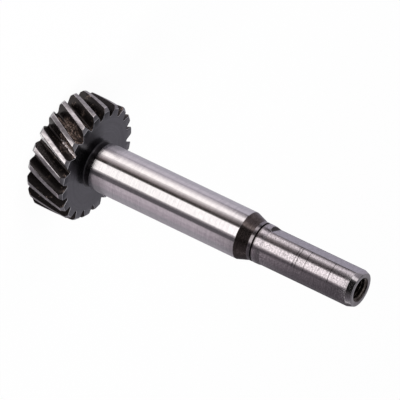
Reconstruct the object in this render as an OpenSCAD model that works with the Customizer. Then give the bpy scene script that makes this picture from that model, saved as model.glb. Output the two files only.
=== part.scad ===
// Helical pinion turned in one piece with its shaft, standing on the rear face of the gear.
// Z runs along the shaft from the rear face of the gear to the free end. Millimetres.

/* [Gear teeth] */
// Number of teeth
teeth = 20; // [17:1:24]
// Normal module of the teeth
module_n = 2; // [1.5:0.25:2.5]
// Helix angle at the pitch circle, right hand
helix_deg = 23.8; // [10:0.2:30]
// Normal pressure angle
pressure_deg = 20; // [18:0.5:22]
// Height of a tooth above the pitch circle, in modules
addendum_k = 1.44; // [1.2:0.01:1.5]
// Depth of a space below the pitch circle, in modules
dedendum_k = 0.7; // [0.6:0.01:0.85]
// Share of the pitch that the tooth fills at the pitch circle
thick_k = 0.675; // [0.6:0.005:0.7]
// Height of the fillet at the foot of a flank
root_fillet = 0.7; // [0.4:0.05:0.9]
// Turn of the first tooth at the rear face
phase_deg = 12.2; // [0:0.2:18]
// Width of the toothed face
face_w = 17.2; // [12:0.2:30]
// Chamfer turned on both ends of the teeth
tooth_chamfer = 1.25; // [0.4:0.05:1.6]

/* [Journal] */
// Diameter of the ground journal
journal_d = 20; // [18:0.5:24]
// Length from the gear to the end of the journal
journal_len = 71.6; // [30:0.2:120]
// Width of the grinding relief beside the gear
relief_w = 2.8; // [1.4:0.1:4]
// Depth of the grinding relief
relief_depth = 0.5; // [0.2:0.05:0.8]
// Corner radius where the relief meets the gear
relief_r = 0.6; // [0.3:0.1:0.9]

/* [Cone and land] */
// Length of the cone after the journal
cone_len = 5.1; // [2:0.1:10]
// Diameter of the land
land_d = 16.5; // [16.3:0.1:17.6]
// Length of the land
land_len = 4.3; // [3.2:0.1:8]
// Distance from the cone to the groove in the land
groove_gap = 1.4; // [0.6:0.1:2.4]
// Width of the groove
groove_w = 0.8; // [0.4:0.1:1.2]
// Depth of the groove
groove_depth = 0.4; // [0.2:0.05:0.8]
// Length of the taper from the land down to the stub
taper_len = 1.6; // [0.4:0.2:3]

/* [Stub] */
// Diameter of the stub that carries the hub
stub_d = 16; // [14:0.25:16.25]
// Length of the stub, with its taper
stub_len = 43.8; // [43:0.2:80]
// Length of the lead chamfer at the free end
lead_len = 2.5; // [1:0.25:4]
// Drop of the lead chamfer, on the radius
lead_drop = 0.85; // [0.4:0.05:1.5]
// Depth of the milled flat below the stub's surface
flat_depth = 1.2; // [0.6:0.05:2]
// Length of the flat at full depth
flat_len = 41.2; // [20:0.2:42]
// Radius of the cutter at the run-out of the flat
cutter_r = 2.5; // [2:0.25:4]

/* [End hole] */
// Mouth of the countersink
mouth_d = 10.25; // [9.5:0.25:11]
// Core diameter of the tapped hole
core_d = 8.5; // [7.5:0.25:9]
// Depth of the tapped hole from the end face
hole_depth = 24; // [12:0.5:32]
// Angle of the countersink, edge to edge
sink_deg = 90; // [60:5:100]

/* [Rear centre] */
// Mouth of the centre-drilled hole in the rear face
centre_d = 6.6; // [4:0.2:9]
// Diameter of its pilot
pilot_d = 3; // [2:0.25:3.75]
// Depth of its pilot from the rear face
pilot_depth = 7; // [5.5:0.5:10]

/* [Hidden] */
$fn = 96;

// Steps along an involute flank, round its fillet and across an end chamfer
flank_steps = 3;
fillet_steps = 2;
chamfer_steps = 2;
// Longest step along the face between two turned sections of the teeth
max_slice = 2.5;
// Share of the root circle at which the teeth meet the plain middle of each end face
web_share = 0.8;
// How far one cutter or core reaches past the surface that it starts from
over = 1;
// How far the relief's corner starts below the gear's face
sink = 0.05;
// Steps round the relief's corner and the flat's run-out
corner_steps = 5;
runout_steps = 8;
// Angle of the drill point at the bottom of a drilled hole
drill_deg = 118;
// Angle of the centre drill's cone
centre_deg = 60;

// Pitch, base, tip and root circles in the plane across the shaft
pitch_r = teeth * module_n / (2 * cos(helix_deg));
pressure_t = atan(tan(pressure_deg) / cos(helix_deg));
base_r = pitch_r * cos(pressure_t);
tip_r = pitch_r + addendum_k * module_n;
root_r = pitch_r - dedendum_k * module_n;
foot_r = root_r + root_fillet;
pitch_deg = 360 / teeth;
twist_deg = tan(helix_deg) / pitch_r * 180 / PI;

// Stations along the shaft
z_gear = face_w;
z_relief = z_gear + relief_w;
z_cone = z_gear + journal_len;
z_land = z_cone + cone_len;
z_stub = z_land + land_len;
z_end = z_stub + stub_len;
z_lead = z_end - lead_len;

function involute(r) = let (a = acos(base_r / r)) tan(a) * 180 / PI - a;
function half_tooth(r) = thick_k * pitch_deg / 2 + involute(pitch_r) - involute(r);

// A point of the flank, seen from the middle of the space beside the tooth
function from_space(r) = let (d = pitch_deg / 2 - half_tooth(r)) [r * sin(d), r * cos(d)];

// The fillet runs on from the flank and ends level in the middle of the space
foot = from_space(foot_r);
foot_dir = from_space(foot_r + sink) - foot;
knee = [foot.x - (foot.y - root_r) * foot_dir.x / foot_dir.y, root_r];
function fillet_at(t) = (1 - t) * (1 - t) * foot + 2 * t * (1 - t) * knee + t * t * [0, root_r];
function polar(p) = [norm(p), pitch_deg / 2 - atan2(p.x, p.y)];

// One tooth as [radius, angle] pairs, from the crest down to the middle of the next space
half_profile = concat(
    [for (i = [0:flank_steps]) let (r = tip_r + (foot_r - tip_r) * i / flank_steps) [r, half_tooth(r)]],
    [for (i = [1:fillet_steps]) polar(fillet_at(i / fillet_steps))]
);
half_count = len(half_profile);
tooth_profile = concat(
    [for (i = [half_count - 2:-1:0]) [half_profile[i][0], -half_profile[i][1]]],
    [[tip_r, 0]],
    half_profile
);
profile_count = len(tooth_profile);
ring_count = teeth * profile_count;

// Heights of the turned sections: close together in the chamfers, even in between
mid_steps = ceil((face_w - 2 * tooth_chamfer) / max_slice);
ring_z = concat(
    [for (i = [0:chamfer_steps - 1]) tooth_chamfer * i / chamfer_steps],
    [for (i = [0:mid_steps]) tooth_chamfer + (face_w - 2 * tooth_chamfer) * i / mid_steps],
    [for (i = [1:chamfer_steps]) face_w - tooth_chamfer + tooth_chamfer * i / chamfer_steps]
);
function crest_limit(z) = tip_r - max(0, tooth_chamfer - z, tooth_chamfer - (face_w - z));

function tooth_deg(t, z) = phase_deg + t * pitch_deg + twist_deg * z;

// The toothed body: one involute section carried along the face and turned by the helix.
// Each end face is a fan per tooth, out from a plain polygon in its middle.
module toothed_body() {
    skin = [
        for (z = ring_z, t = [0:teeth - 1], p = tooth_profile)
        let (r = min(p[0], crest_limit(z)), a = tooth_deg(t, z) + p[1])
        [r * cos(a), r * sin(a), z]
    ];
    webs = [
        for (z = [0, face_w], t = [0:teeth - 1])
        let (r = web_share * root_r, a = tooth_deg(t, z))
        [r * cos(a), r * sin(a), z]
    ];
    last = (len(ring_z) - 1) * ring_count;
    rear_web = len(skin);
    front_web = rear_web + teeth;
    sides = [
        for (k = [0:len(ring_z) - 2], i = [0:ring_count - 1])
        let (a = k * ring_count + i, b = k * ring_count + (i + 1) % ring_count)
        for (tri = [[a, b + ring_count, b], [a, a + ring_count, b + ring_count]]) tri
    ];
    rear = [
        for (i = [0:ring_count - 1])
        let (t = floor((i + 1) / profile_count) % teeth)
        [i, (i + 1) % ring_count, rear_web + t]
    ];
    front = [
        for (i = [0:ring_count - 1])
        let (t = floor((i + 1) / profile_count) % teeth)
        [last + (i + 1) % ring_count, last + i, front_web + t]
    ];
    gaps = [
        for (t = [0:teeth - 1])
        let (i = t * profile_count + profile_count - 1, n = (t + 1) % teeth)
        for (tri = [[i, rear_web + n, rear_web + t], [last + i, front_web + t, front_web + n]]) tri
    ];
    middles = [
        [for (t = [0:teeth - 1]) rear_web + t],
        [for (t = [teeth - 1:-1:0]) front_web + t]
    ];
    polyhedron(points = concat(skin, webs), faces = concat(sides, rear, front, gaps, middles), convexity = 10);
}

// The shaft, turned as one profile that starts inside the gear
module turned_shaft() {
    core_r = journal_d / 2 - relief_depth;
    corner = [
        for (i = [0:corner_steps])
        let (a = 90 * i / corner_steps)
        [core_r + relief_r * (1 - sin(a)), z_gear - sink + relief_r * (1 - cos(a))]
    ];
    groove_z = z_land + groove_gap;
    rotate_extrude()
        polygon(concat(
            [[0, z_gear / 2], [core_r + relief_r, z_gear / 2]],
            corner,
            [
                [core_r, z_relief - relief_depth],
                [journal_d / 2, z_relief],
                [journal_d / 2, z_cone],
                [land_d / 2, z_land],
                [land_d / 2, groove_z],
                [land_d / 2 - groove_depth, groove_z],
                [land_d / 2 - groove_depth, groove_z + groove_w],
                [land_d / 2, groove_z + groove_w],
                [land_d / 2, z_stub],
                [stub_d / 2, z_stub + taper_len],
                [stub_d / 2, z_lead],
                [stub_d / 2 - lead_drop, z_end],
                [0, z_end]
            ]
        ));
}

// What the cutter takes off for the flat, on the -X side: a plane that rises out at the cutter's radius
module flat_cut() {
    plane_x = stub_d / 2 - flat_depth;
    start_z = z_end - flat_len;
    runout = [
        for (i = [0:runout_steps])
        let (a = 90 * i / runout_steps)
        [-plane_x - cutter_r * (1 - cos(a)), start_z - cutter_r * sin(a)]
    ];
    reach = plane_x + cutter_r + land_d;
    translate([0, land_d / 2 + over, 0])
        rotate([90, 0, 0])
            linear_extrude(land_d + 2 * over)
                polygon(concat(
                    [[-plane_x, z_end + over]],
                    runout,
                    [[-reach, start_z - cutter_r], [-reach, z_end + over]]
                ));
}

// The tapped hole in the free end, at its core diameter, with its countersink and drill point
module end_hole() {
    sink_h = (mouth_d - core_d) / 2 / tan(sink_deg / 2);
    point_h = core_d / 2 / tan(drill_deg / 2);
    rotate_extrude()
        polygon([
            [0, z_end - hole_depth - point_h],
            [core_d / 2, z_end - hole_depth],
            [core_d / 2, z_end - sink_h],
            [mouth_d / 2, z_end],
            [mouth_d / 2, z_end + over],
            [0, z_end + over]
        ]);
}

// The centre-drilled hole in the rear face
module rear_centre() {
    cone_h = (centre_d - pilot_d) / 2 / tan(centre_deg / 2);
    point_h = pilot_d / 2 / tan(drill_deg / 2);
    rotate_extrude()
        polygon([
            [0, -over],
            [centre_d / 2, -over],
            [centre_d / 2, 0],
            [pilot_d / 2, cone_h],
            [pilot_d / 2, pilot_depth],
            [0, pilot_depth + point_h]
        ]);
}

module pinion_shaft() {
    color("silver")
        difference() {
            union() {
                toothed_body();
                turned_shaft();
            }
            flat_cut();
            end_hole();
            rear_centre();
        }
}

pinion_shaft();
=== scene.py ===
import math

import bpy
from mathutils import Matrix, Vector


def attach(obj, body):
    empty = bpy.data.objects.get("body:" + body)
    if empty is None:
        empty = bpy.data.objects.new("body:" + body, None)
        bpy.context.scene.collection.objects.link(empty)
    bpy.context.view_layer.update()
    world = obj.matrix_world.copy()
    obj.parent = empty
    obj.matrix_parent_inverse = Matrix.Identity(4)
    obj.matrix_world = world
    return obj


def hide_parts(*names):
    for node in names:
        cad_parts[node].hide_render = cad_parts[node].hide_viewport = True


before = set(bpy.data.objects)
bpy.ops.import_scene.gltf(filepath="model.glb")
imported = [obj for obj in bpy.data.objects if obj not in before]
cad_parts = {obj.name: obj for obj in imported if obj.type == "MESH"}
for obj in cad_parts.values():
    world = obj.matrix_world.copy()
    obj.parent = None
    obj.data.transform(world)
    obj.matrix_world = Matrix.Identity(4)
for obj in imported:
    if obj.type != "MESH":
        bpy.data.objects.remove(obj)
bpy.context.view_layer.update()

MM = 0.001

# Camera
# The photograph looks down on the shaft from about 24 degrees with a long lens.
# The camera is turned on its side, so the upright shaft runs across the picture.
view_azimuth = math.radians(252.8)
view_height = math.radians(24.1605)
tilt = math.radians(25.565)
camera_distance = 2.86403
aim_height = 0.070
aim_drop = 0.005415
aim_side = 0.004597

toward = Vector((math.cos(view_azimuth), math.sin(view_azimuth), 0))
sideways = Vector((math.sin(view_azimuth), -math.cos(view_azimuth), 0))
up = Vector((0, 0, 1))
back = toward * math.cos(view_height) + up * math.sin(view_height)
along = up * math.cos(view_height) - toward * math.sin(view_height)
right = along * math.cos(tilt) + sideways * math.sin(tilt)
top = sideways * math.cos(tilt) - along * math.sin(tilt)
aim = up * aim_height - along * aim_drop + sideways * aim_side

camera_data = bpy.data.cameras.new("camera")
camera_data.sensor_width = 36
camera_data.lens = 658.68
camera_data.clip_start = 0.05
camera_data.clip_end = 50
camera = bpy.data.objects.new("camera", camera_data)
bpy.context.collection.objects.link(camera)
place = Matrix((right, top, back)).transposed().to_4x4()
place.translation = aim + back * camera_distance
camera.matrix_world = place
bpy.context.scene.camera = camera
bpy.context.scene.view_settings.view_transform = "Standard"

# Floor
# A wide sheet of white board under the part. It shows white to the camera and in the steel,
# and keeps a soft shadow under the teeth.
floor_reach = 6.0
floor_drop = 0.0001
floor_steps = 120
floor_glow = 0.95
board_white = (0.88, 0.88, 0.88, 1)
lit_white = (1, 1, 1, 1)


def shader_of(name):
    material = bpy.data.materials.new(name)
    material.use_nodes = True
    material.node_tree.nodes.clear()
    return material


def node(tree, kind, values=None, **settings):
    # Makes a node; a value that is another node's output is linked, and a plain one is set
    made = tree.nodes.new(kind)
    for key, value in settings.items():
        setattr(made, key, value)
    for key, value in (values or {}).items():
        if isinstance(value, bpy.types.NodeSocket):
            tree.links.new(value, made.inputs[key])
        else:
            made.inputs[key].default_value = value
    return made


def maths(tree, operation, *values):
    return node(tree, "ShaderNodeMath", dict(enumerate(values)), operation=operation).outputs[0]


def mesh_object(name, points, faces):
    mesh = bpy.data.meshes.new(name)
    mesh.from_pydata(points, [], faces)
    mesh.update()
    made = bpy.data.objects.new(name, mesh)
    bpy.context.collection.objects.link(made)
    return made


floor_points = [(0, 0, -floor_drop)]
for i in range(floor_steps):
    turn = 2 * math.pi * i / floor_steps
    floor_points.append((floor_reach * math.cos(turn), floor_reach * math.sin(turn), -floor_drop))
floor_faces = [(0, i + 1, (i + 1) % floor_steps + 1) for i in range(floor_steps)]
floor = mesh_object("floor", floor_points, floor_faces)

white_board = shader_of("white_board")
tree = white_board.node_tree
path = node(tree, "ShaderNodeLightPath").outputs
seen = maths(tree, "ADD", path["Is Camera Ray"], path["Is Glossy Ray"])
seen = maths(tree, "ADD", seen, path["Is Transmission Ray"])
share = maths(tree, "MULTIPLY", seen, floor_glow)
board = node(tree, "ShaderNodeBsdfDiffuse", {"Color": board_white})
glow = node(tree, "ShaderNodeEmission", {"Color": lit_white, "Strength": 1.0})
mixed = node(tree, "ShaderNodeMixShader", {0: share, 1: board.outputs[0], 2: glow.outputs[0]})
node(tree, "ShaderNodeOutputMaterial", {"Surface": mixed.outputs[0]})
floor.data.materials.append(white_board)

# Studio cards
# Rings of grey and black card lie flat round the part, and only the steel sees them: the near one
# gives the bands along the journal, the gear's those on its crests, the far one the stub's. The inner
# one lies just over the gear's front face, a painted reflection of the journal's bands there.
# Each band is in degrees that the light turns on the steel, clockwise from the camera.
journal_bands = [
    (-180, -102, (0.350, 0.330, 0.360)),
    (-102, -77, (0.430, 0.380, 0.420)),
    (-77, -54, (0.540, 0.480, 0.520)),
    (-54, -36, (0.110, 0.100, 0.110)),
    (-36, -32, (0.160, 0.145, 0.155)),
    (-32, -26.3, (0.400, 0.370, 0.380)),
    (-26.3, 15.6, (1.260, 1.220, 1.190)),
    (15.6, 29, (0.045, 0.038, 0.035)),
    (29, 35, (0.220, 0.185, 0.185)),
    (35, 43, (0.420, 0.370, 0.370)),
    (43, 51, (0.740, 0.690, 0.680)),
    (51, 67, (1.300, 1.230, 1.200)),
    (67, 76, (1.060, 1.000, 1.000)),
    (76, 86, (0.740, 0.680, 0.710)),
    (86, 95, (0.440, 0.410, 0.450)),
    (95, 117, (0.580, 0.540, 0.600)),
    (117, 180, (0.450, 0.430, 0.480)),
]
crest_bands = [
    (-180, -36, (0.210, 0.198, 0.210)),
    (-36, -30, (0.300, 0.285, 0.295)),
    (-30, 8, (1.260, 1.220, 1.200)),
    (8, 17, (0.760, 0.720, 0.730)),
    (17, 45, (0.270, 0.255, 0.262)),
    (45, 52, (0.500, 0.470, 0.480)),
    (52, 75, (0.820, 0.780, 0.790)),
    (75, 90, (0.330, 0.315, 0.325)),
    (90, 180, (0.350, 0.335, 0.360)),
]
stub_bands = [
    (-180, -120, (0.120, 0.112, 0.122)),
    (-120, -34, (0.092, 0.082, 0.092)),
    (-34, -26, (0.380, 0.340, 0.360)),
    (-26, 15, (1.380, 1.310, 1.320)),
    (15, 20, (0.220, 0.200, 0.200)),
    (20, 35, (0.065, 0.056, 0.060)),
    (35, 42, (0.140, 0.122, 0.130)),
    (42, 48, (0.340, 0.310, 0.325)),
    (48, 54, (0.800, 0.745, 0.770)),
    (54, 67, (1.000, 0.940, 0.970)),
    (67, 74, (0.400, 0.370, 0.390)),
    (74, 92, (0.060, 0.055, 0.060)),
    (92, 180, (0.430, 0.410, 0.470)),
]
card_height = 0.0003
inner_height = 0.01725
inner_edge = 0.0162
gear_edge = 0.0255
near_edge = 0.060
middle_edge = 0.228
far_edge = 2.5
row_growth = 1.25
seam_half = 0.8
soft_from = 100
soft_share = 1 / 3
painted_shade_dim = 0.55
side_from = -36
side_past = 76
journal_round = 0.010
crest_round = 0.0247
turn_tries = 12
columns = 361


def card_grey(bands, angle):
    # The seams are soft: narrow in front, and wider towards the back
    reach = seam_half + max(0, abs(angle) - soft_from) * soft_share
    total = Vector((0, 0, 0))
    for start, end, colour in bands:
        for whole_turn in (-360, 0, 360):
            low = max(angle - reach, start + whole_turn)
            high = min(angle + reach, end + whole_turn)
            if high > low:
                total += Vector(colour) * (high - low)
    return total / (2 * reach)


def light_turn(bearing, distance, bar_radius):
    # Light that lands at this bearing left a round bar at half the angle that it turned there
    turn = bearing
    for _ in range(turn_tries):
        turn = bearing + math.asin(bar_radius * math.sin(turn / 2) / distance)
    return max(-180, min(180, math.degrees(turn)))


def lay_ring(name, near, far, bands, bar_radius, height):
    rows = max(1, math.ceil(math.log(far / near) / math.log(row_growth)))
    ring_points = []
    greys = []
    for k in range(rows + 1):
        distance = near * (far / near) ** (k / rows)
        for i in range(columns):
            bearing = math.radians(i - 180)
            angle = view_azimuth - bearing
            ring_points.append((distance * math.cos(angle), distance * math.sin(angle), height))
            greys.append(card_grey(bands, light_turn(bearing, distance, bar_radius)))
    ring_faces = []
    for k in range(rows):
        for i in range(k * columns, (k + 1) * columns - 1):
            ring_faces.append((i, i + 1, i + 1 + columns, i + columns))
    card = mesh_object(name, ring_points, ring_faces)
    shades = card.data.attributes.new("shade", "FLOAT_COLOR", "POINT")
    shades.data.foreach_set("color", [value for grey in greys for value in (*grey, 1)])
    board = shader_of("card")
    board.cycles.emission_sampling = "NONE"
    tree = board.node_tree
    shade = node(tree, "ShaderNodeAttribute", attribute_name="shade").outputs["Color"]
    glow = node(tree, "ShaderNodeEmission", {"Color": shade, "Strength": 1.0}).outputs[0]
    clear = node(tree, "ShaderNodeBsdfTransparent").outputs[0]
    under = node(tree, "ShaderNodeNewGeometry").outputs["Backfacing"]
    one_side = node(tree, "ShaderNodeMixShader", {0: under, 1: glow, 2: clear})
    node(tree, "ShaderNodeOutputMaterial", {"Surface": one_side.outputs[0]})
    card.data.materials.append(board)
    card.visible_camera = False
    card.visible_diffuse = False
    card.visible_transmission = False
    card.visible_volume_scatter = False
    card.visible_shadow = False


# A sheet just over the gear's front face, which the journal sees in place of the face: a painted
# reflection of its bands, with the side bands dimmed as painted shade.
painted_reflection_bands = []
for start, end, colour in journal_bands:
    dim = painted_shade_dim if end <= side_from or start >= side_past else 1
    painted_reflection_bands.append((start, end, Vector(colour) * dim))
lay_ring("painted_reflection_ring", inner_edge, gear_edge, painted_reflection_bands, journal_round, inner_height)
lay_ring("gear_ring", gear_edge, near_edge, crest_bands, crest_round, card_height)
lay_ring("near_ring", near_edge, middle_edge, journal_bands, journal_round, card_height)
lay_ring("far_ring", middle_edge, far_edge, stub_bands, 0, card_height)

# Room and lamps
# The room round the table: its walls are black behind the camera and lighter to the sides and
# back, under a grey ceiling. Two soft boxes, one to each side, light the rust and the painted
# highlight.
wall_greys = [
    (-180, (0.42, 0.41, 0.44)),
    (-125, (0.42, 0.41, 0.44)),
    (-80, (0.15, 0.14, 0.155)),
    (-52, (0.09, 0.085, 0.09)),
    (-36, (0.018, 0.018, 0.018)),
    (20, (0.018, 0.018, 0.018)),
    (33, (0.10, 0.10, 0.10)),
    (39, (1.30, 1.27, 1.29)),
    (51, (1.30, 1.27, 1.29)),
    (60, (0.34, 0.32, 0.35)),
    (110, (0.42, 0.41, 0.44)),
    (180, (0.42, 0.41, 0.44)),
]
ceiling_greys = [
    (0.55, (0.17, 0.17, 0.18)),
    (0.80, (0.26, 0.26, 0.28)),
    (0.98, (0.60, 0.60, 0.62)),
]
wall_top = 0.45
ceiling_start = 0.65
lamp_aim = 0.05


def rise(tree, value, start, end, low=0.0, high=1.0):
    # Goes from low to high while the value goes from start to end
    return node(tree, "ShaderNodeMapRange", {0: value, 1: start, 2: end, 3: low, 4: high}).outputs[0]


def blend(tree, share, first, second):
    # The first colour where the share is 0, the second where it is 1
    mixed = node(tree, "ShaderNodeMix", {0: share, 6: first, 7: second}, data_type="RGBA")
    return mixed.outputs[2]


def ramp(tree, value, stops):
    made = node(tree, "ShaderNodeValToRGB", {0: value})
    elements = made.color_ramp.elements
    while len(elements) > 1:
        elements.remove(elements[-1])
    elements[0].position = stops[0][0]
    elements[0].color = (*stops[0][1], 1)
    for position, colour in stops[1:]:
        elements.new(position).color = (*colour, 1)
    return made.outputs[0]


world = bpy.data.worlds.new("room")
bpy.context.scene.world = world
world.use_nodes = True
tree = world.node_tree
tree.nodes.clear()
direction = node(tree, "ShaderNodeTexCoord").outputs["Generated"]
turned = node(tree, "ShaderNodeMapping", {"Vector": direction, "Rotation": (0, 0, -view_azimuth)})
split = node(tree, "ShaderNodeSeparateXYZ", {0: turned.outputs[0]}).outputs
clockwise = maths(tree, "MULTIPLY", split["Y"], -1.0)
bearing = maths(tree, "ARCTAN2", clockwise, split["X"])
share = rise(tree, bearing, -math.pi, math.pi)
wall = ramp(tree, share, [((angle + 180) / 360, colour) for angle, colour in wall_greys])
ceiling = ramp(tree, split["Z"], ceiling_greys)
height = rise(tree, split["Z"], wall_top, ceiling_start)
both = blend(tree, height, wall, ceiling)
room = node(tree, "ShaderNodeBackground", {"Color": both, "Strength": 1.0})
node(tree, "ShaderNodeOutputWorld", {"Surface": room.outputs[0]})


def soft_box(name, bearing, height, reach, size, power):
    lamp_data = bpy.data.lights.new(name, "AREA")
    lamp_data.shape = "SQUARE"
    lamp_data.size = size
    lamp_data.energy = power
    lamp = bpy.data.objects.new(name, lamp_data)
    bpy.context.collection.objects.link(lamp)
    angle = view_azimuth - math.radians(bearing)
    lift = math.radians(height)
    ray = up * math.sin(lift)
    ray += Vector((math.cos(angle), math.sin(angle), 0)) * math.cos(lift)
    lamp.location = ray * reach + up * lamp_aim
    lamp.rotation_mode = "QUATERNION"
    lamp.rotation_quaternion = ray.to_track_quat("Z", "Y")
    lamp.visible_glossy = False


soft_box("lamp_right", bearing=70, height=55, reach=1.3, size=0.7, power=7)
soft_box("lamp_left", bearing=-52, height=48, reach=1.4, size=0.6, power=12)

# Toothed body
# The pinion's teeth are hobbed in the same steel bar as the shaft: twenty involute teeth on a
# right-hand helix, with turned chamfers at both ends and edges broken by the deburring brush.
# The whole part is gathered in one mesh; every face carries the name of its finish.
teeth = 20
module_n = 2.0
helix = math.radians(23.8)
pressure = math.radians(20)
addendum = 1.44
dedendum = 0.7
thickness = 0.675
fillet_radius = 0.7
phase = 12.2
face_width = 17.2
tooth_chamfer = 1.25
chamfer_round = 0.07
chamfer_rings = (0.4, 0.7)
tip_round = 0.16
least_flank = 0.2
edge_break = 0.10
slope_step = 0.05
crest_steps = 3
round_steps = 2
flank_steps = 8
root_steps = 5
middle_rings = 24

pitch_radius = teeth * module_n / (2 * math.cos(helix))
base_radius = pitch_radius * math.cos(math.atan(math.tan(pressure) / math.cos(helix)))
tip_radius = pitch_radius + addendum * module_n
root_radius = pitch_radius - dedendum * module_n
foot_radius = root_radius + fillet_radius
pitch_angle = 360 / teeth
twist = math.degrees(math.tan(helix) / pitch_radius)

points = []
faces = []
zones = []
finishes = {}


def involute(r):
    angle = math.acos(min(1, base_radius / r))
    return math.degrees(math.tan(angle) - angle)


def half_tooth(r, inset):
    at_pitch = thickness * pitch_angle / 2
    return at_pitch + involute(pitch_radius) - involute(r) - math.degrees(inset / r)


def from_space(r, inset):
    # A point of the flank, seen from the middle of the space beside it
    angle = math.radians(pitch_angle / 2 - half_tooth(r, inset))
    return Vector((r * math.sin(angle), r * math.cos(angle)))


def polar(point):
    return point.length, pitch_angle / 2 - math.degrees(math.atan2(point.x, point.y))


def bow(first, pull, last, t):
    # A point of the curve from first to last that leans towards pull
    return (1 - t) ** 2 * first + 2 * t * (1 - t) * pull + t * t * last


def half_section(limit, inset):
    # From the middle of the crest down to the middle of the space, as radius and angle
    shoulder = half_tooth(limit, inset)
    lip = min(tip_round, limit - foot_radius - least_flank)
    level = shoulder - math.degrees(lip / limit)
    section = [(limit, level * i / crest_steps) for i in range(crest_steps + 1)]
    low = limit - lip
    low_angle = half_tooth(low, inset)
    for i in range(1, round_steps):
        t = i / round_steps
        section.append((bow(limit, limit, low, t), bow(level, shoulder, low_angle, t)))
    bottom = foot_radius - inset
    for i in range(flank_steps + 1):
        radius = low + (bottom - low) * i / flank_steps
        section.append((radius, half_tooth(radius, inset)))
    foot = from_space(bottom, inset)
    slope = from_space(bottom + slope_step, inset) - foot
    root = root_radius - inset
    knee = Vector((foot.x - (foot.y - root) * slope.x / slope.y, root))
    for i in range(1, root_steps + 1):
        section.append(polar(bow(foot, knee, Vector((0, root)), i / root_steps)))
    return section


def tooth_ring(z, inset):
    # One closed outline of all the teeth at height z, starting on the middle of tooth 0's crest
    limit = tip_radius - max(0, tooth_chamfer - z, tooth_chamfer - (face_width - z)) - inset
    half = half_section(limit, inset)
    whole = half + [(r, pitch_angle - a) for r, a in reversed(half[1:-1])]
    ring = []
    for tooth in range(teeth):
        for radius, angle in whole:
            turn = math.radians(phase + tooth * pitch_angle + twist * z + angle)
            ring.append((radius * math.cos(turn), radius * math.sin(turn), z))
    return ring


def add_ring(ring):
    # The pinion's sizes are in millimetres, and its mesh is in metres
    first = len(points)
    points.extend(Vector(p) * MM for p in ring)
    return list(range(first, first + len(ring)))


def join(low, high, zone_of, diagonal=None):
    # Quads between two rings with the same number of points, seen from outside
    count = len(low)
    for i in range(count):
        j = (i + 1) % count
        zone = zone_of(i)
        way = diagonal(i) if diagonal else 0
        if way > 0:
            faces.append((low[i], low[j], high[j]))
            faces.append((low[i], high[j], high[i]))
            zones.extend((zone, zone))
        elif way < 0:
            faces.append((low[i], low[j], high[i]))
            faces.append((low[j], high[j], high[i]))
            zones.extend((zone, zone))
        else:
            faces.append((low[i], low[j], high[j], high[i]))
            zones.append(zone)


per_tooth = 2 * len(half_section(tip_radius, 0)) - 2
crest_last = crest_steps + round_steps
crest_low = tooth_chamfer
crest_high = face_width - tooth_chamfer + 2 * chamfer_round


def tooth_zone(i, z):
    # The surface of the quad below height z that starts at point i
    if z <= edge_break or z >= face_width:
        return "edge"
    k = i % per_tooth
    if k < crest_last or k >= per_tooth - crest_last:
        return "crest" if crest_low < z < crest_high else "chamfer"
    return "teeth"


inner_width = face_width - 2 * tooth_chamfer
end_heights = [edge_break]
end_heights += [tooth_chamfer * share for share in chamfer_rings]
end_heights += [tooth_chamfer - chamfer_round, tooth_chamfer + chamfer_round]
heights = list(end_heights)
heights += [tooth_chamfer + inner_width * i / middle_rings for i in range(1, middle_rings)]
heights += [face_width - z for z in reversed(end_heights)]
rear_outline = add_ring(tooth_ring(0, edge_break))
previous = rear_outline
for z in heights:
    ring = add_ring(tooth_ring(z, 0))
    join(previous, ring, lambda i: tooth_zone(i, z))
    previous = ring
front_outline = add_ring(tooth_ring(face_width, edge_break))
join(previous, front_outline, lambda i: tooth_zone(i, face_width))

# Steel and its finishes
# The bar is case-hardened steel. It is left as hobbed in the teeth, turned on the crests and
# faces, and ground on the journal. Rust, scored lines and a dark strip by the flat lie over that,
# with painted shade in the hollows and round the shaft's foot, and a painted highlight on one tooth.
marked_angle = view_azimuth - math.radians(12)
marked_side = Vector((math.cos(marked_angle), math.sin(marked_angle), 0))
even_grain = (400.0, 400.0, 400.0)
tone_low = 0.38
tone_high = 0.62
gloss_low = 0.35
gloss_high = 0.65
grain_height = 0.00001
shade_core = 0.45
shade_wave = 0.003
score_half = 0.00022
score_fade = 0.00040
score_wander = 0.0003
score_ink = 0.72
score_end = 0.0060
score_start = 0.0070
quarter_turn = 0.25
black = (0, 0, 0, 1)


def noise(tree, place, scale, detail=4.0, rough=0.5):
    values = {"Vector": place, "Scale": scale, "Detail": detail, "Roughness": rough}
    return node(tree, "ShaderNodeTexNoise", values).outputs["Fac"]


def raised(tree, height, distance):
    bump = node(tree, "ShaderNodeBump", {"Height": height, "Distance": distance, "Strength": 1.0})
    return bump.outputs[0]


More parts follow.
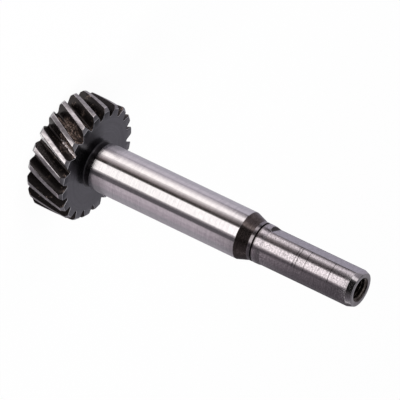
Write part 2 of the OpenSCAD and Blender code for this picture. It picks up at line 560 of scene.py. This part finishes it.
def steel(name, light, dark, rough, spread, stretch, grain, rings=False, mottle=0.5, blotch=700.0,
          painted_shade=None, scores=()):
    # light and dark are the two ends of the tone; grain is the scale of the streaks each way
    material = shader_of(name)
    tree = material.node_tree
    where = node(tree, "ShaderNodeTexCoord").outputs["Object"]
    split = node(tree, "ShaderNodeSeparateXYZ", {0: where}).outputs
    source = where
    if rings:
        # Turning marks on a flat face run round the axis, so their lines follow the radius
        flat = node(tree, "ShaderNodeCombineXYZ", {0: split["X"], 1: split["Y"], 2: 0.0})
        reach = node(tree, "ShaderNodeVectorMath", {0: flat.outputs[0]}, operation="LENGTH")
        place = {0: split["X"], 1: split["Y"], 2: reach.outputs["Value"]}
        source = node(tree, "ShaderNodeCombineXYZ", place).outputs[0]
    streak_place = node(tree, "ShaderNodeMapping", {"Vector": source, "Scale": grain})
    streak = noise(tree, streak_place.outputs[0], 1.0)
    cloud = noise(tree, where, blotch)
    mix = node(tree, "ShaderNodeMix", {0: mottle, 2: streak, 3: cloud}).outputs[0]
    tone = rise(tree, mix, tone_low, tone_high)
    tint = blend(tree, tone, (*dark, 1), (*light, 1))
    if painted_shade:
        # A patch of painted shade: its middle, the radius where it has faded, and how dark it is
        middle, faded, shade = painted_shade
        gap = node(tree, "ShaderNodeVectorMath", {0: where, 1: middle}, operation="DISTANCE")
        wave = maths(tree, "MULTIPLY", cloud, shade_wave)
        edge = maths(tree, "ADD", gap.outputs["Value"], wave)
        unshaded = rise(tree, edge, faded * shade_core, faded, shade, 1.0)
        tint = blend(tree, unshaded, black, tint)
    for height in scores:
        # A thin dark line scored part of the way round the shaft
        off = maths(tree, "SUBTRACT", split["Z"], height)
        size = maths(tree, "ABSOLUTE", off)
        wander = maths(tree, "MULTIPLY", cloud, score_wander)
        line = maths(tree, "ADD", size, wander)
        inked = rise(tree, line, score_half, score_fade, score_ink, 0.0)
        facing = node(tree, "ShaderNodeVectorMath", {0: where, 1: marked_side}, operation="DOT_PRODUCT")
        shown = rise(tree, facing.outputs["Value"], score_end, score_start)
        tint = blend(tree, maths(tree, "MULTIPLY", inked, shown), tint, black)
    surface = node(tree, "ShaderNodeBsdfPrincipled", {
        "Base Color": tint,
        "Metallic": 1.0,
        "Roughness": rise(tree, mix, gloss_low, gloss_high, rough + spread, rough - spread),
        "Anisotropic": stretch,
        "Anisotropic Rotation": quarter_turn,
        "Normal": raised(tree, streak, grain_height),
        "Tangent": node(tree, "ShaderNodeTangent", direction_type="RADIAL", axis="Z").outputs[0],
    })
    node(tree, "ShaderNodeOutputMaterial", {"Surface": surface.outputs[0]})
    return material


# Flanks of the teeth
# Near black and oily, with rust bloom and pale chips in a few spaces, and a near-white painted
# highlight beside one tooth's crest. Each place is counted in teeth from tooth 0, along the helix.
rusty_places = [(3.5, 0.12), (7.5, 0.06), (10.6, 0.07), (11.62, 0.20), (12.3, 0.10), (13.5, 0.02)]
rust_core = 4.0
rust_reach = 8.0
rust_heights = (0.001, 0.008)
rust_scale = 220.0
rust_range = (0.58, 0.70)
speck_scale = 1500.0
speck_height = 0.00003
spot_range = (0.40, 0.56)
brown_range = (0.48, 0.66)
chipped_place = 12.45
chip_amount = 0.37
chip_core = 1.4
chip_reach = 2.6
chip_heights = (0.007, 0.010)
grit_scale = 1100.0
chip_range = (0.78, 0.86)
# A near-white wedge of painted highlight lies beside this tooth's crest, lit by the left lamp.
highlight_tooth = 13
highlight_start = math.radians(2.9)
highlight_soft = math.radians(0.4)
highlight_rear = math.radians(8.2)
highlight_front = math.radians(4.0)
highlight_fade = math.radians(0.8)
highlight_heights = (0.001, 0.016)
oily_black = (0.034, 0.028, 0.027, 1)
rust_dark = (0.090, 0.052, 0.040, 1)
rust_pale = (0.54, 0.41, 0.34, 1)
chip_steel = (0.95, 0.86, 0.86, 1)
highlight_white = (0.97, 0.93, 0.93, 1)
oily_metal = 0.75
rust_and_highlight_metal = 0.1
oily_rough = 0.30
rusty_rough = 0.70


def round_share(place):
    # Where a place, counted in teeth, comes on a ramp that runs once round the gear
    return (phase + place * pitch_angle + 180) % 360 / 360


def patch_stops(place, amount, core, reach):
    # Full within core degrees of the place, and gone at reach degrees
    middle = round_share(place)
    nothing = (0, 0, 0)
    full = (amount, amount, amount)
    return [
        (middle - reach / 360, nothing),
        (middle - core / 360, full),
        (middle + core / 360, full),
        (middle + reach / 360, nothing),
    ]


def worn_flanks_and_highlight():
    material = shader_of("hobbed_flanks")
    tree = material.node_tree
    where = node(tree, "ShaderNodeTexCoord").outputs["Object"]
    split = node(tree, "ShaderNodeSeparateXYZ", {0: where}).outputs
    turn = maths(tree, "ARCTAN2", split["Y"], split["X"])
    wind = maths(tree, "MULTIPLY", split["Z"], math.radians(twist) / MM)
    unwound = maths(tree, "SUBTRACT", turn, wind)
    share = rise(tree, unwound, -math.pi, math.pi)
    clean_start = [(0.0, (0, 0, 0))]

    # Rust, in spotted patches that thin out towards the rear
    rust_stops = [stop for place, amount in rusty_places
                  for stop in patch_stops(place, amount, rust_core, rust_reach)]
    spaces = ramp(tree, share, sorted(clean_start + rust_stops))
    bloom = maths(tree, "MULTIPLY", spaces, rise(tree, split["Z"], *rust_heights))
    patch = noise(tree, where, rust_scale, detail=5.0, rough=0.65)
    speck = noise(tree, where, speck_scale)
    rust = rise(tree, maths(tree, "ADD", patch, bloom), *rust_range)
    spots = maths(tree, "MULTIPLY", rust, rise(tree, speck, *spot_range))
    rusty = blend(tree, rise(tree, speck, *brown_range), rust_dark, rust_pale)
    tint = blend(tree, spots, oily_black, rusty)

    # Pale chips in the front half of one space
    chip_stops = patch_stops(chipped_place, chip_amount, chip_core, chip_reach)
    chipped = ramp(tree, share, clean_start + chip_stops)
    chance = maths(tree, "MULTIPLY", chipped, rise(tree, split["Z"], *chip_heights))
    grit = noise(tree, where, grit_scale, detail=2.0)
    chip = rise(tree, maths(tree, "ADD", grit, chance), *chip_range)
    tint = blend(tree, chip, tint, chip_steel)

    # The painted highlight is a near-white wedge beside the crest that narrows towards the shaft
    crest_line = (round_share(highlight_tooth) - 0.5) * 2 * math.pi
    beside = maths(tree, "SUBTRACT", unwound, crest_line)
    wedge_edge = rise(tree, split["Z"], *highlight_heights, highlight_rear, highlight_front)
    left = maths(tree, "SUBTRACT", wedge_edge, beside)
    begun = rise(tree, beside, highlight_start, highlight_start + highlight_soft)
    painted_highlight = maths(tree, "MULTIPLY", begun, rise(tree, left, 0.0, highlight_fade))
    tint = blend(tree, painted_highlight, tint, highlight_white)

    rust_and_highlight = maths(tree, "MAXIMUM", spots, painted_highlight)
    surface = node(tree, "ShaderNodeBsdfPrincipled", {
        "Base Color": tint,
        "Metallic": rise(tree, rust_and_highlight, 0.0, 1.0, oily_metal, rust_and_highlight_metal),
        "Roughness": rise(tree, spots, 0.0, 1.0, oily_rough, rusty_rough),
        "Normal": raised(tree, speck, speck_height),
    })
    node(tree, "ShaderNodeOutputMaterial", {"Surface": surface.outputs[0]})
    return material


finishes["teeth"] = worn_flanks_and_highlight()
finishes["crest"] = steel(
    "turned_crests", light=(0.82, 0.785, 0.80), dark=(0.46, 0.43, 0.445),
    rough=0.19, spread=0.05, stretch=0.6, grain=(900.0, 900.0, 160.0))
finishes["chamfer"] = steel(
    "tooth_chamfers", light=(0.36, 0.345, 0.36), dark=(0.20, 0.19, 0.20),
    rough=0.30, spread=0.05, stretch=0.3, grain=even_grain)
finishes["edge"] = steel(
    "brushed_edges", light=(0.80, 0.78, 0.80), dark=(0.50, 0.48, 0.50),
    rough=0.30, spread=0.05, stretch=0.0, grain=even_grain)

# Shaft
# The shaft is turned in the same set-up, then the journal alone is ground. A relief groove
# lets the grinding wheel run out at the gear, and a flat is milled along the driving end.
round_count = 160
flat_half = 14
journal_radius = 10.0
relief_radius = 9.5
relief_corner = 0.6
relief_top = 20.0
cone_start = 88.8
land_start = 93.9
land_radius = 8.25
groove_start = 95.3
groove_end = 96.1
groove_depth = 0.4
collar_end = 96.6
land_end = 98.2
stub_start = 99.8
stub_radius = 8.0
lead_start = 139.5
shaft_end = 142.0
end_radius = 7.15
flat_distance = 6.8
flat_start = 100.8
cutter_radius = 2.5
runout_rings = 24
runout_lead = 0.06
milled_from = 0.7
scraped_depth = 0.12
corner_steps = 6
round_places = (0, 0.33, 0.67, 1)
past_edge = 2
end_break = 0.04
last_lead_ring = 0.97
journal_heights = (30.0, 50.0, 70.0)
stub_heights = (flat_start, 110.0, 120.0, 130.0)
flat_edge = math.degrees(math.acos(flat_distance / stub_radius))


def flat_at(z):
    # How far the milled flat stands from the axis at height z; it rises out on the cutter's radius
    drop = flat_start - z
    if drop <= 0:
        return flat_distance
    if drop >= cutter_radius:
        return math.inf
    return flat_distance + cutter_radius - math.sqrt(cutter_radius ** 2 - drop ** 2)


def nose_radius(z):
    # The land runs down to the stub in a short taper
    share = (z - land_end) / (stub_start - land_end)
    return land_radius + (stub_radius - land_radius) * min(1, max(0, share))


def shaft_angle(i):
    # Angle from the middle of the flat; the points either side of it fall on the flat's edges
    if i > round_count // 2:
        return -shaft_angle(round_count - i)
    if i <= flat_half:
        return flat_edge * i / flat_half
    return flat_edge + (180 - flat_edge) * (i - flat_half) / (round_count // 2 - flat_half)


def shaft_ring(radius, z):
    reach = flat_at(z)
    edge = math.degrees(math.acos(reach / radius)) if reach < radius else 0
    angles = [shaft_angle(i) for i in range(round_count)]
    if edge > 0:
        near = min(range(round_count // 2), key=lambda i: abs(angles[i] - edge))
        angles[near] = edge
        angles[-near] = -edge
    ring = []
    for angle in angles:
        r = radius
        if edge > 0 and abs(angle) < edge:
            r = reach / math.cos(math.radians(angle))
        turn = math.radians(180 + angle)
        ring.append((r * math.cos(turn), r * math.sin(turn), z))
    return ring


def across_flat(i):
    # The flat's edges run across these quads, so each is split along the edge
    if i < flat_half + past_edge:
        return 1
    if i >= round_count - flat_half - past_edge:
        return -1
    return 0


def across_lead(i):
    return -across_flat(i)


def softened(profile):
    # Replaces each corner that has a round by four points of it
    result = []
    for k, (radius, z, soft, zone) in enumerate(profile):
        if not soft:
            result.append((radius, z, zone))
            continue
        here = Vector((radius, z))
        before = Vector(profile[k - 1][:2]) - here
        after = Vector(profile[k + 1][:2]) - here
        one = here + before.normalized() * min(soft, before.length / 2)
        two = here + after.normalized() * min(soft, after.length / 2)
        for t in round_places:
            p = bow(one, here, two, t)
            result.append((p.x, p.y, zone if t > 0.5 else profile[k - 1][3]))
    return result


# Each station is radius, height, size of the edge's round, and the surface that starts there
profile = []
for i in range(corner_steps + 1):
    turn = math.radians(90 * i / corner_steps)
    radius = relief_radius + relief_corner * (1 - math.sin(turn))
    profile.append((radius, face_width + relief_corner * (1 - math.cos(turn)), 0, "relief"))
profile += [
    (relief_radius, relief_top + relief_radius - journal_radius, 0.08, "relief"),
    (journal_radius, relief_top, 0.12, "ground"),
]
profile += [(journal_radius, z, 0, "ground") for z in journal_heights]
profile += [
    (journal_radius, cone_start, 0.15, "cone"),
    (land_radius, land_start, 0.10, "land"),
    (land_radius, groove_start, 0.06, "groove"),
    (land_radius - groove_depth, groove_start, 0.08, "groove"),
    (land_radius - groove_depth, groove_end, 0.08, "groove"),
    (land_radius, groove_end, 0.06, "land"),
    (land_radius, collar_end, 0, "stub"),
]
runout_reach = cutter_radius - land_radius + flat_distance
runout_low = flat_start - math.sqrt(cutter_radius ** 2 - runout_reach ** 2)
runout_first = runout_low - runout_lead
for i in range(runout_rings):
    z = runout_first + (flat_start - runout_first) * i / runout_rings
    profile.append((nose_radius(z), z, 0, "stub"))
profile += [(stub_radius, z, 0, "stub") for z in stub_heights]
profile += [(stub_radius, lead_start, 0, "lead")]

# Rings up the lead chamfer, each where it crosses the next pair of points on the flat
for i in range(flat_half - 1, 0, -1):
    radius = flat_distance / math.cos(math.radians(shaft_angle(i)))
    share = (stub_radius - radius) / (stub_radius - end_radius)
    if share < last_lead_ring:
        profile.append((radius, lead_start + (shaft_end - lead_start) * share, 0, "lead"))
profile += [
    (end_radius, shaft_end - end_break, 0, "edge"),
    (end_radius - 2 * end_break, shaft_end, 0, "land"),
]

shaft_rings = []
for radius, z, zone in softened(profile):
    shaft_rings.append((add_ring(shaft_ring(radius, z)), z, zone))


def milled_zone(i, z, zone):
    # The surface of the quad that starts at point i: the flat, the dark strip along its edges, its
    # run-out, or the turned stub
    angle = (shaft_angle(i) + shaft_angle((i + 1) % round_count)) / 2
    if i == round_count // 2:
        angle = 180
    depth = nose_radius(z) * math.cos(math.radians(angle)) - flat_at(z)
    if depth < 0:
        return zone
    # A narrow dark strip runs along each edge of the flat.
    if z > flat_start and flat_half - 1 in (i, round_count - i - 1):
        return "scale"
    if z > flat_start - milled_from:
        return "flat"
    return "runout" if depth > scraped_depth else zone


for k in range(len(shaft_rings) - 1):
    low, low_z, zone = shaft_rings[k]
    high, high_z, _ = shaft_rings[k + 1]
    split_way = None
    if runout_first <= low_z < flat_start:
        split_way = across_flat
    if low_z >= lead_start:
        split_way = across_lead
    middle_z = (low_z + high_z) / 2
    if low_z >= runout_first and zone == "stub":
        join(low, high, lambda i: milled_zone(i, middle_z, zone), split_way)
    else:
        join(low, high, lambda i: zone, split_way)

# The grain of the shaft's finishes is far finer along it than round it
ground_grain = (60.0, 60.0, 5000.0)
turned_grain = (150.0, 150.0, 2500.0)
# The relief is near black: painted shade in the recess under the journal's edge.
finishes["relief"] = steel(
    "relief", light=(0.10, 0.095, 0.10), dark=(0.05, 0.045, 0.05),
    rough=0.30, spread=0.05, stretch=0.5, grain=ground_grain)
finishes["ground"] = steel(
    "ground_journal", light=(0.85, 0.83, 0.84), dark=(0.73, 0.71, 0.73),
    rough=0.155, spread=0.02, stretch=0.85, grain=ground_grain, mottle=0.4)
finishes["cone"] = steel(
    "turned_cone", light=(0.162, 0.133, 0.130), dark=(0.092, 0.073, 0.068),
    rough=0.24, spread=0.05, stretch=0.5, grain=turned_grain)
finishes["land"] = steel(
    "land", light=(0.42, 0.395, 0.405), dark=(0.30, 0.28, 0.29),
    rough=0.20, spread=0.05, stretch=0.6, grain=turned_grain)
# The groove is near black: painted shade in the recess.
finishes["groove"] = steel(
    "groove", light=(0.025, 0.02, 0.02), dark=(0.015, 0.012, 0.012),
    rough=0.45, spread=0.05, stretch=0.3, grain=turned_grain)
finishes["stub"] = steel(
    "turned_stub", light=(0.82, 0.775, 0.80), dark=(0.38, 0.355, 0.37),
    rough=0.21, spread=0.05, stretch=0.6, grain=turned_grain, mottle=0.7, blotch=2400.0,
    scores=(0.1147, 0.1158, 0.1196, 0.1308))
finishes["flat"] = steel(
    "milled_flat", light=(0.66, 0.63, 0.67), dark=(0.50, 0.475, 0.505),
    rough=0.24, spread=0.05, stretch=0.3, grain=(300.0, 300.0, 900.0), blotch=900.0)
# The zone called scale is a narrow dark strip along each edge of the flat.
finishes["scale"] = steel(
    "dark_strip_beside_flat", light=(0.10, 0.09, 0.095), dark=(0.04, 0.036, 0.038),
    rough=0.35, spread=0.05, stretch=0.2, grain=(400.0, 400.0, 200.0))
# The run-out is near black: painted shade in the hollow the cutter left.
finishes["runout"] = steel(
    "cutter_runout", light=(0.075, 0.065, 0.065), dark=(0.035, 0.03, 0.03),
    rough=0.40, spread=0.05, stretch=0.2, grain=turned_grain)
finishes["lead"] = steel(
    "lead_chamfer", light=(0.66, 0.62, 0.64), dark=(0.42, 0.39, 0.40),
    rough=0.13, spread=0.03, stretch=0.5, grain=turned_grain)

# Front face of the gear
# The gear's sides are turned flat and hardened blue-black. A patch of painted shade darkens the
# face round the relief on the camera side. The face is plain rings from the teeth in to the relief.
face_radii = (19.6, 17.0, 14.0, 11.5)
shade_radius = 0.016
shade_reach = 0.0150
shade_level = 0.20
angle_slack = 0.01


def face_ring(radius, z, start):
    ring = []
    for i in range(round_count):
        turn = math.radians(start + 360 * i / round_count)
        ring.append((radius * math.cos(turn), radius * math.sin(turn), z))
    return ring


def stitch(outside, inside, zone, start):
    # Triangles between two rings with different numbers of points, matched by their angle
    def turns(ring):
        angles = [math.degrees(math.atan2(points[k].y, points[k].x)) - start for k in ring]
        return [(angle + angle_slack) % 360 for angle in angles] + [360.0]

    out_angles = turns(outside)
    in_angles = turns(inside)
    i = 0
    j = 0
    while i < len(outside) or j < len(inside):
        a = outside[i % len(outside)]
        b = inside[j % len(inside)]
        if j >= len(inside) or (i < len(outside) and out_angles[i + 1] <= in_angles[j + 1]):
            i += 1
            faces.append((a, outside[i % len(outside)], b))
        else:
            j += 1
            faces.append((a, inside[j % len(inside)], b))
        zones.append(zone)


start_front = phase + twist * face_width
outer = add_ring(face_ring(face_radii[0], face_width, start_front))
stitch(front_outline, outer, "side", start_front)
for radius in face_radii[1:]:
    inner = add_ring(face_ring(radius, face_width, start_front))
    join(outer, inner, lambda i: "side")
    outer = inner

# The relief's ring starts at the flat, so it is turned to start level with the face's rings
shift = round((start_front - 180) / (360 / round_count)) % round_count
base_ring = shaft_rings[0][0]
join(outer, base_ring[shift:] + base_ring[:shift], lambda i: "side")

# The painted shade lies on the face beside the shaft, on the camera side.
shade_middle = marked_side * shade_radius + up * face_width * MM
finishes["side"] = steel(
    "hardened_sides", light=(0.168, 0.163, 0.180), dark=(0.128, 0.124, 0.137),
    rough=0.20, spread=0.03, stretch=0.7, grain=(20.0, 20.0, 2600.0), rings=True, mottle=0.3,
    painted_shade=(shade_middle, shade_reach, shade_level))

# Rear face
# The rear face is turned flat, with the 60 degree centre hole that the part was ground on.
# Its pilot is drilled into the bar, and ends in the drill's point.
rear_radii = (14.0, 9.0)
centre_radius = 3.3
centre_rim = 0.1
centre_sink = 0.12
pilot_radius = 1.5
pilot_depth = 7.0
drill_slope = math.tan(math.radians(59))
cone_depth = (centre_radius - pilot_radius) / math.tan(math.radians(30))


def close(ring, tip, inside_out=False):
    # Closes a hole's last ring with a cone of triangles that ends in its tip
    tip_index = len(points)
    points.append(Vector((0, 0, tip)) * MM)
    for i in range(round_count):
        edge = (ring[i], ring[(i + 1) % round_count])
        faces.append((*reversed(edge), tip_index) if inside_out else (*edge, tip_index))
        zones.append("bore")


outer = add_ring(face_ring(face_radii[0], 0, phase))
first_face = len(faces)
stitch(rear_outline, outer, "side", phase)
faces[first_face:] = [tuple(reversed(face)) for face in faces[first_face:]]
inward = [(radius, 0, "side") for radius in rear_radii]
inward += [
    (centre_radius + centre_rim, 0, "side"),
    (centre_radius - centre_rim / 2, centre_sink, "bore"),
    (pilot_radius, cone_depth, "bore"),
    (pilot_radius, pilot_depth, "bore"),
]
for radius, z, zone in inward:
    inner = add_ring(face_ring(radius, z, phase))
    join(inner, outer, lambda i: zone)
    outer = inner
close(outer, pilot_depth + pilot_radius / drill_slope, inside_out=True)

# Hole in the driving end
# The end is drilled, tapped with a 10 mm thread and lightly countersunk. The bottom is the
# drill's point.
mouth_radius = 5.125
mouth_break = 0.06
core_radius = 4.25
thread_root = 4.95
thread_pitch = 1.5
thread_low = 121.0
hole_bottom = 118.0
crest_share = 0.25
root_share = 0.125
flank_share = (1 - crest_share - root_share) / 2
steps_per_turn = 10
sink_depths = (0.04, 0.35, 0.7)
thread_depth = 0.8
thread_gap = 0.05


def thread_shape(share):
    # How deep the thread is cut, from 0 to 1, at a share of the pitch
    share = share % 1.0
    if share < crest_share:
        return 0.0
    if share < crest_share + flank_share:
        return (share - crest_share) / flank_share
    if share < 1.0 - flank_share:
        return 1.0
    return (1.0 - share) / flank_share


def hole_ring(z):
    sink = mouth_radius - (shaft_end - z)
    fade = min(1, max(0, (z - thread_low) / thread_pitch))
    ring = []
    for i in range(round_count):
        angle = shaft_angle(i)
        cut = thread_shape(z / thread_pitch - angle / 360)
        radius = max(core_radius + (thread_root - core_radius) * cut * fade, sink)
        turn = math.radians(180 + angle)
        ring.append((radius * math.cos(turn), radius * math.sin(turn), z))
    return ring


previous = add_ring(shaft_ring(mouth_radius + mouth_break, shaft_end))
join(shaft_rings[-1][0], previous, lambda i: "land")
hole_heights = [shaft_end - depth for depth in sink_depths]
z = shaft_end - thread_depth
while z > thread_low:
    hole_heights.append(z)
    z -= thread_pitch / steps_per_turn
hole_heights += [thread_low - thread_gap, hole_bottom]
for z in hole_heights:
    ring = add_ring(hole_ring(z))
    join(previous, ring, lambda i: "bore")
    previous = ring
close(previous, hole_bottom - core_radius / drill_slope)

# The holes are dark brown to near black: painted shade inside them and on the countersink.
finishes["bore"] = steel(
    "tapped_hole", light=(0.22, 0.185, 0.165), dark=(0.030, 0.023, 0.020),
    rough=0.26, spread=0.05, stretch=0.2, grain=ground_grain, mottle=0.5, blotch=900.0)

# The whole pinion
# One piece of steel from gear to driving end, so one mesh, which takes the solid's place.
# Edges sharper than the crease stay crisp, and the rest is smooth.
crease = math.radians(28)
names = list(finishes)
part = mesh_object("pinion_skin", points, faces)
for name in names:
    part.data.materials.append(finishes[name])
part.data.polygons.foreach_set("material_index", [names.index(zone) for zone in zones])
part.data.polygons.foreach_set("use_smooth", [True] * len(zones))
part.data.set_sharp_from_angle(angle=crease)
part.data.update()
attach(part, "root")
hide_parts("pinion_shaft")
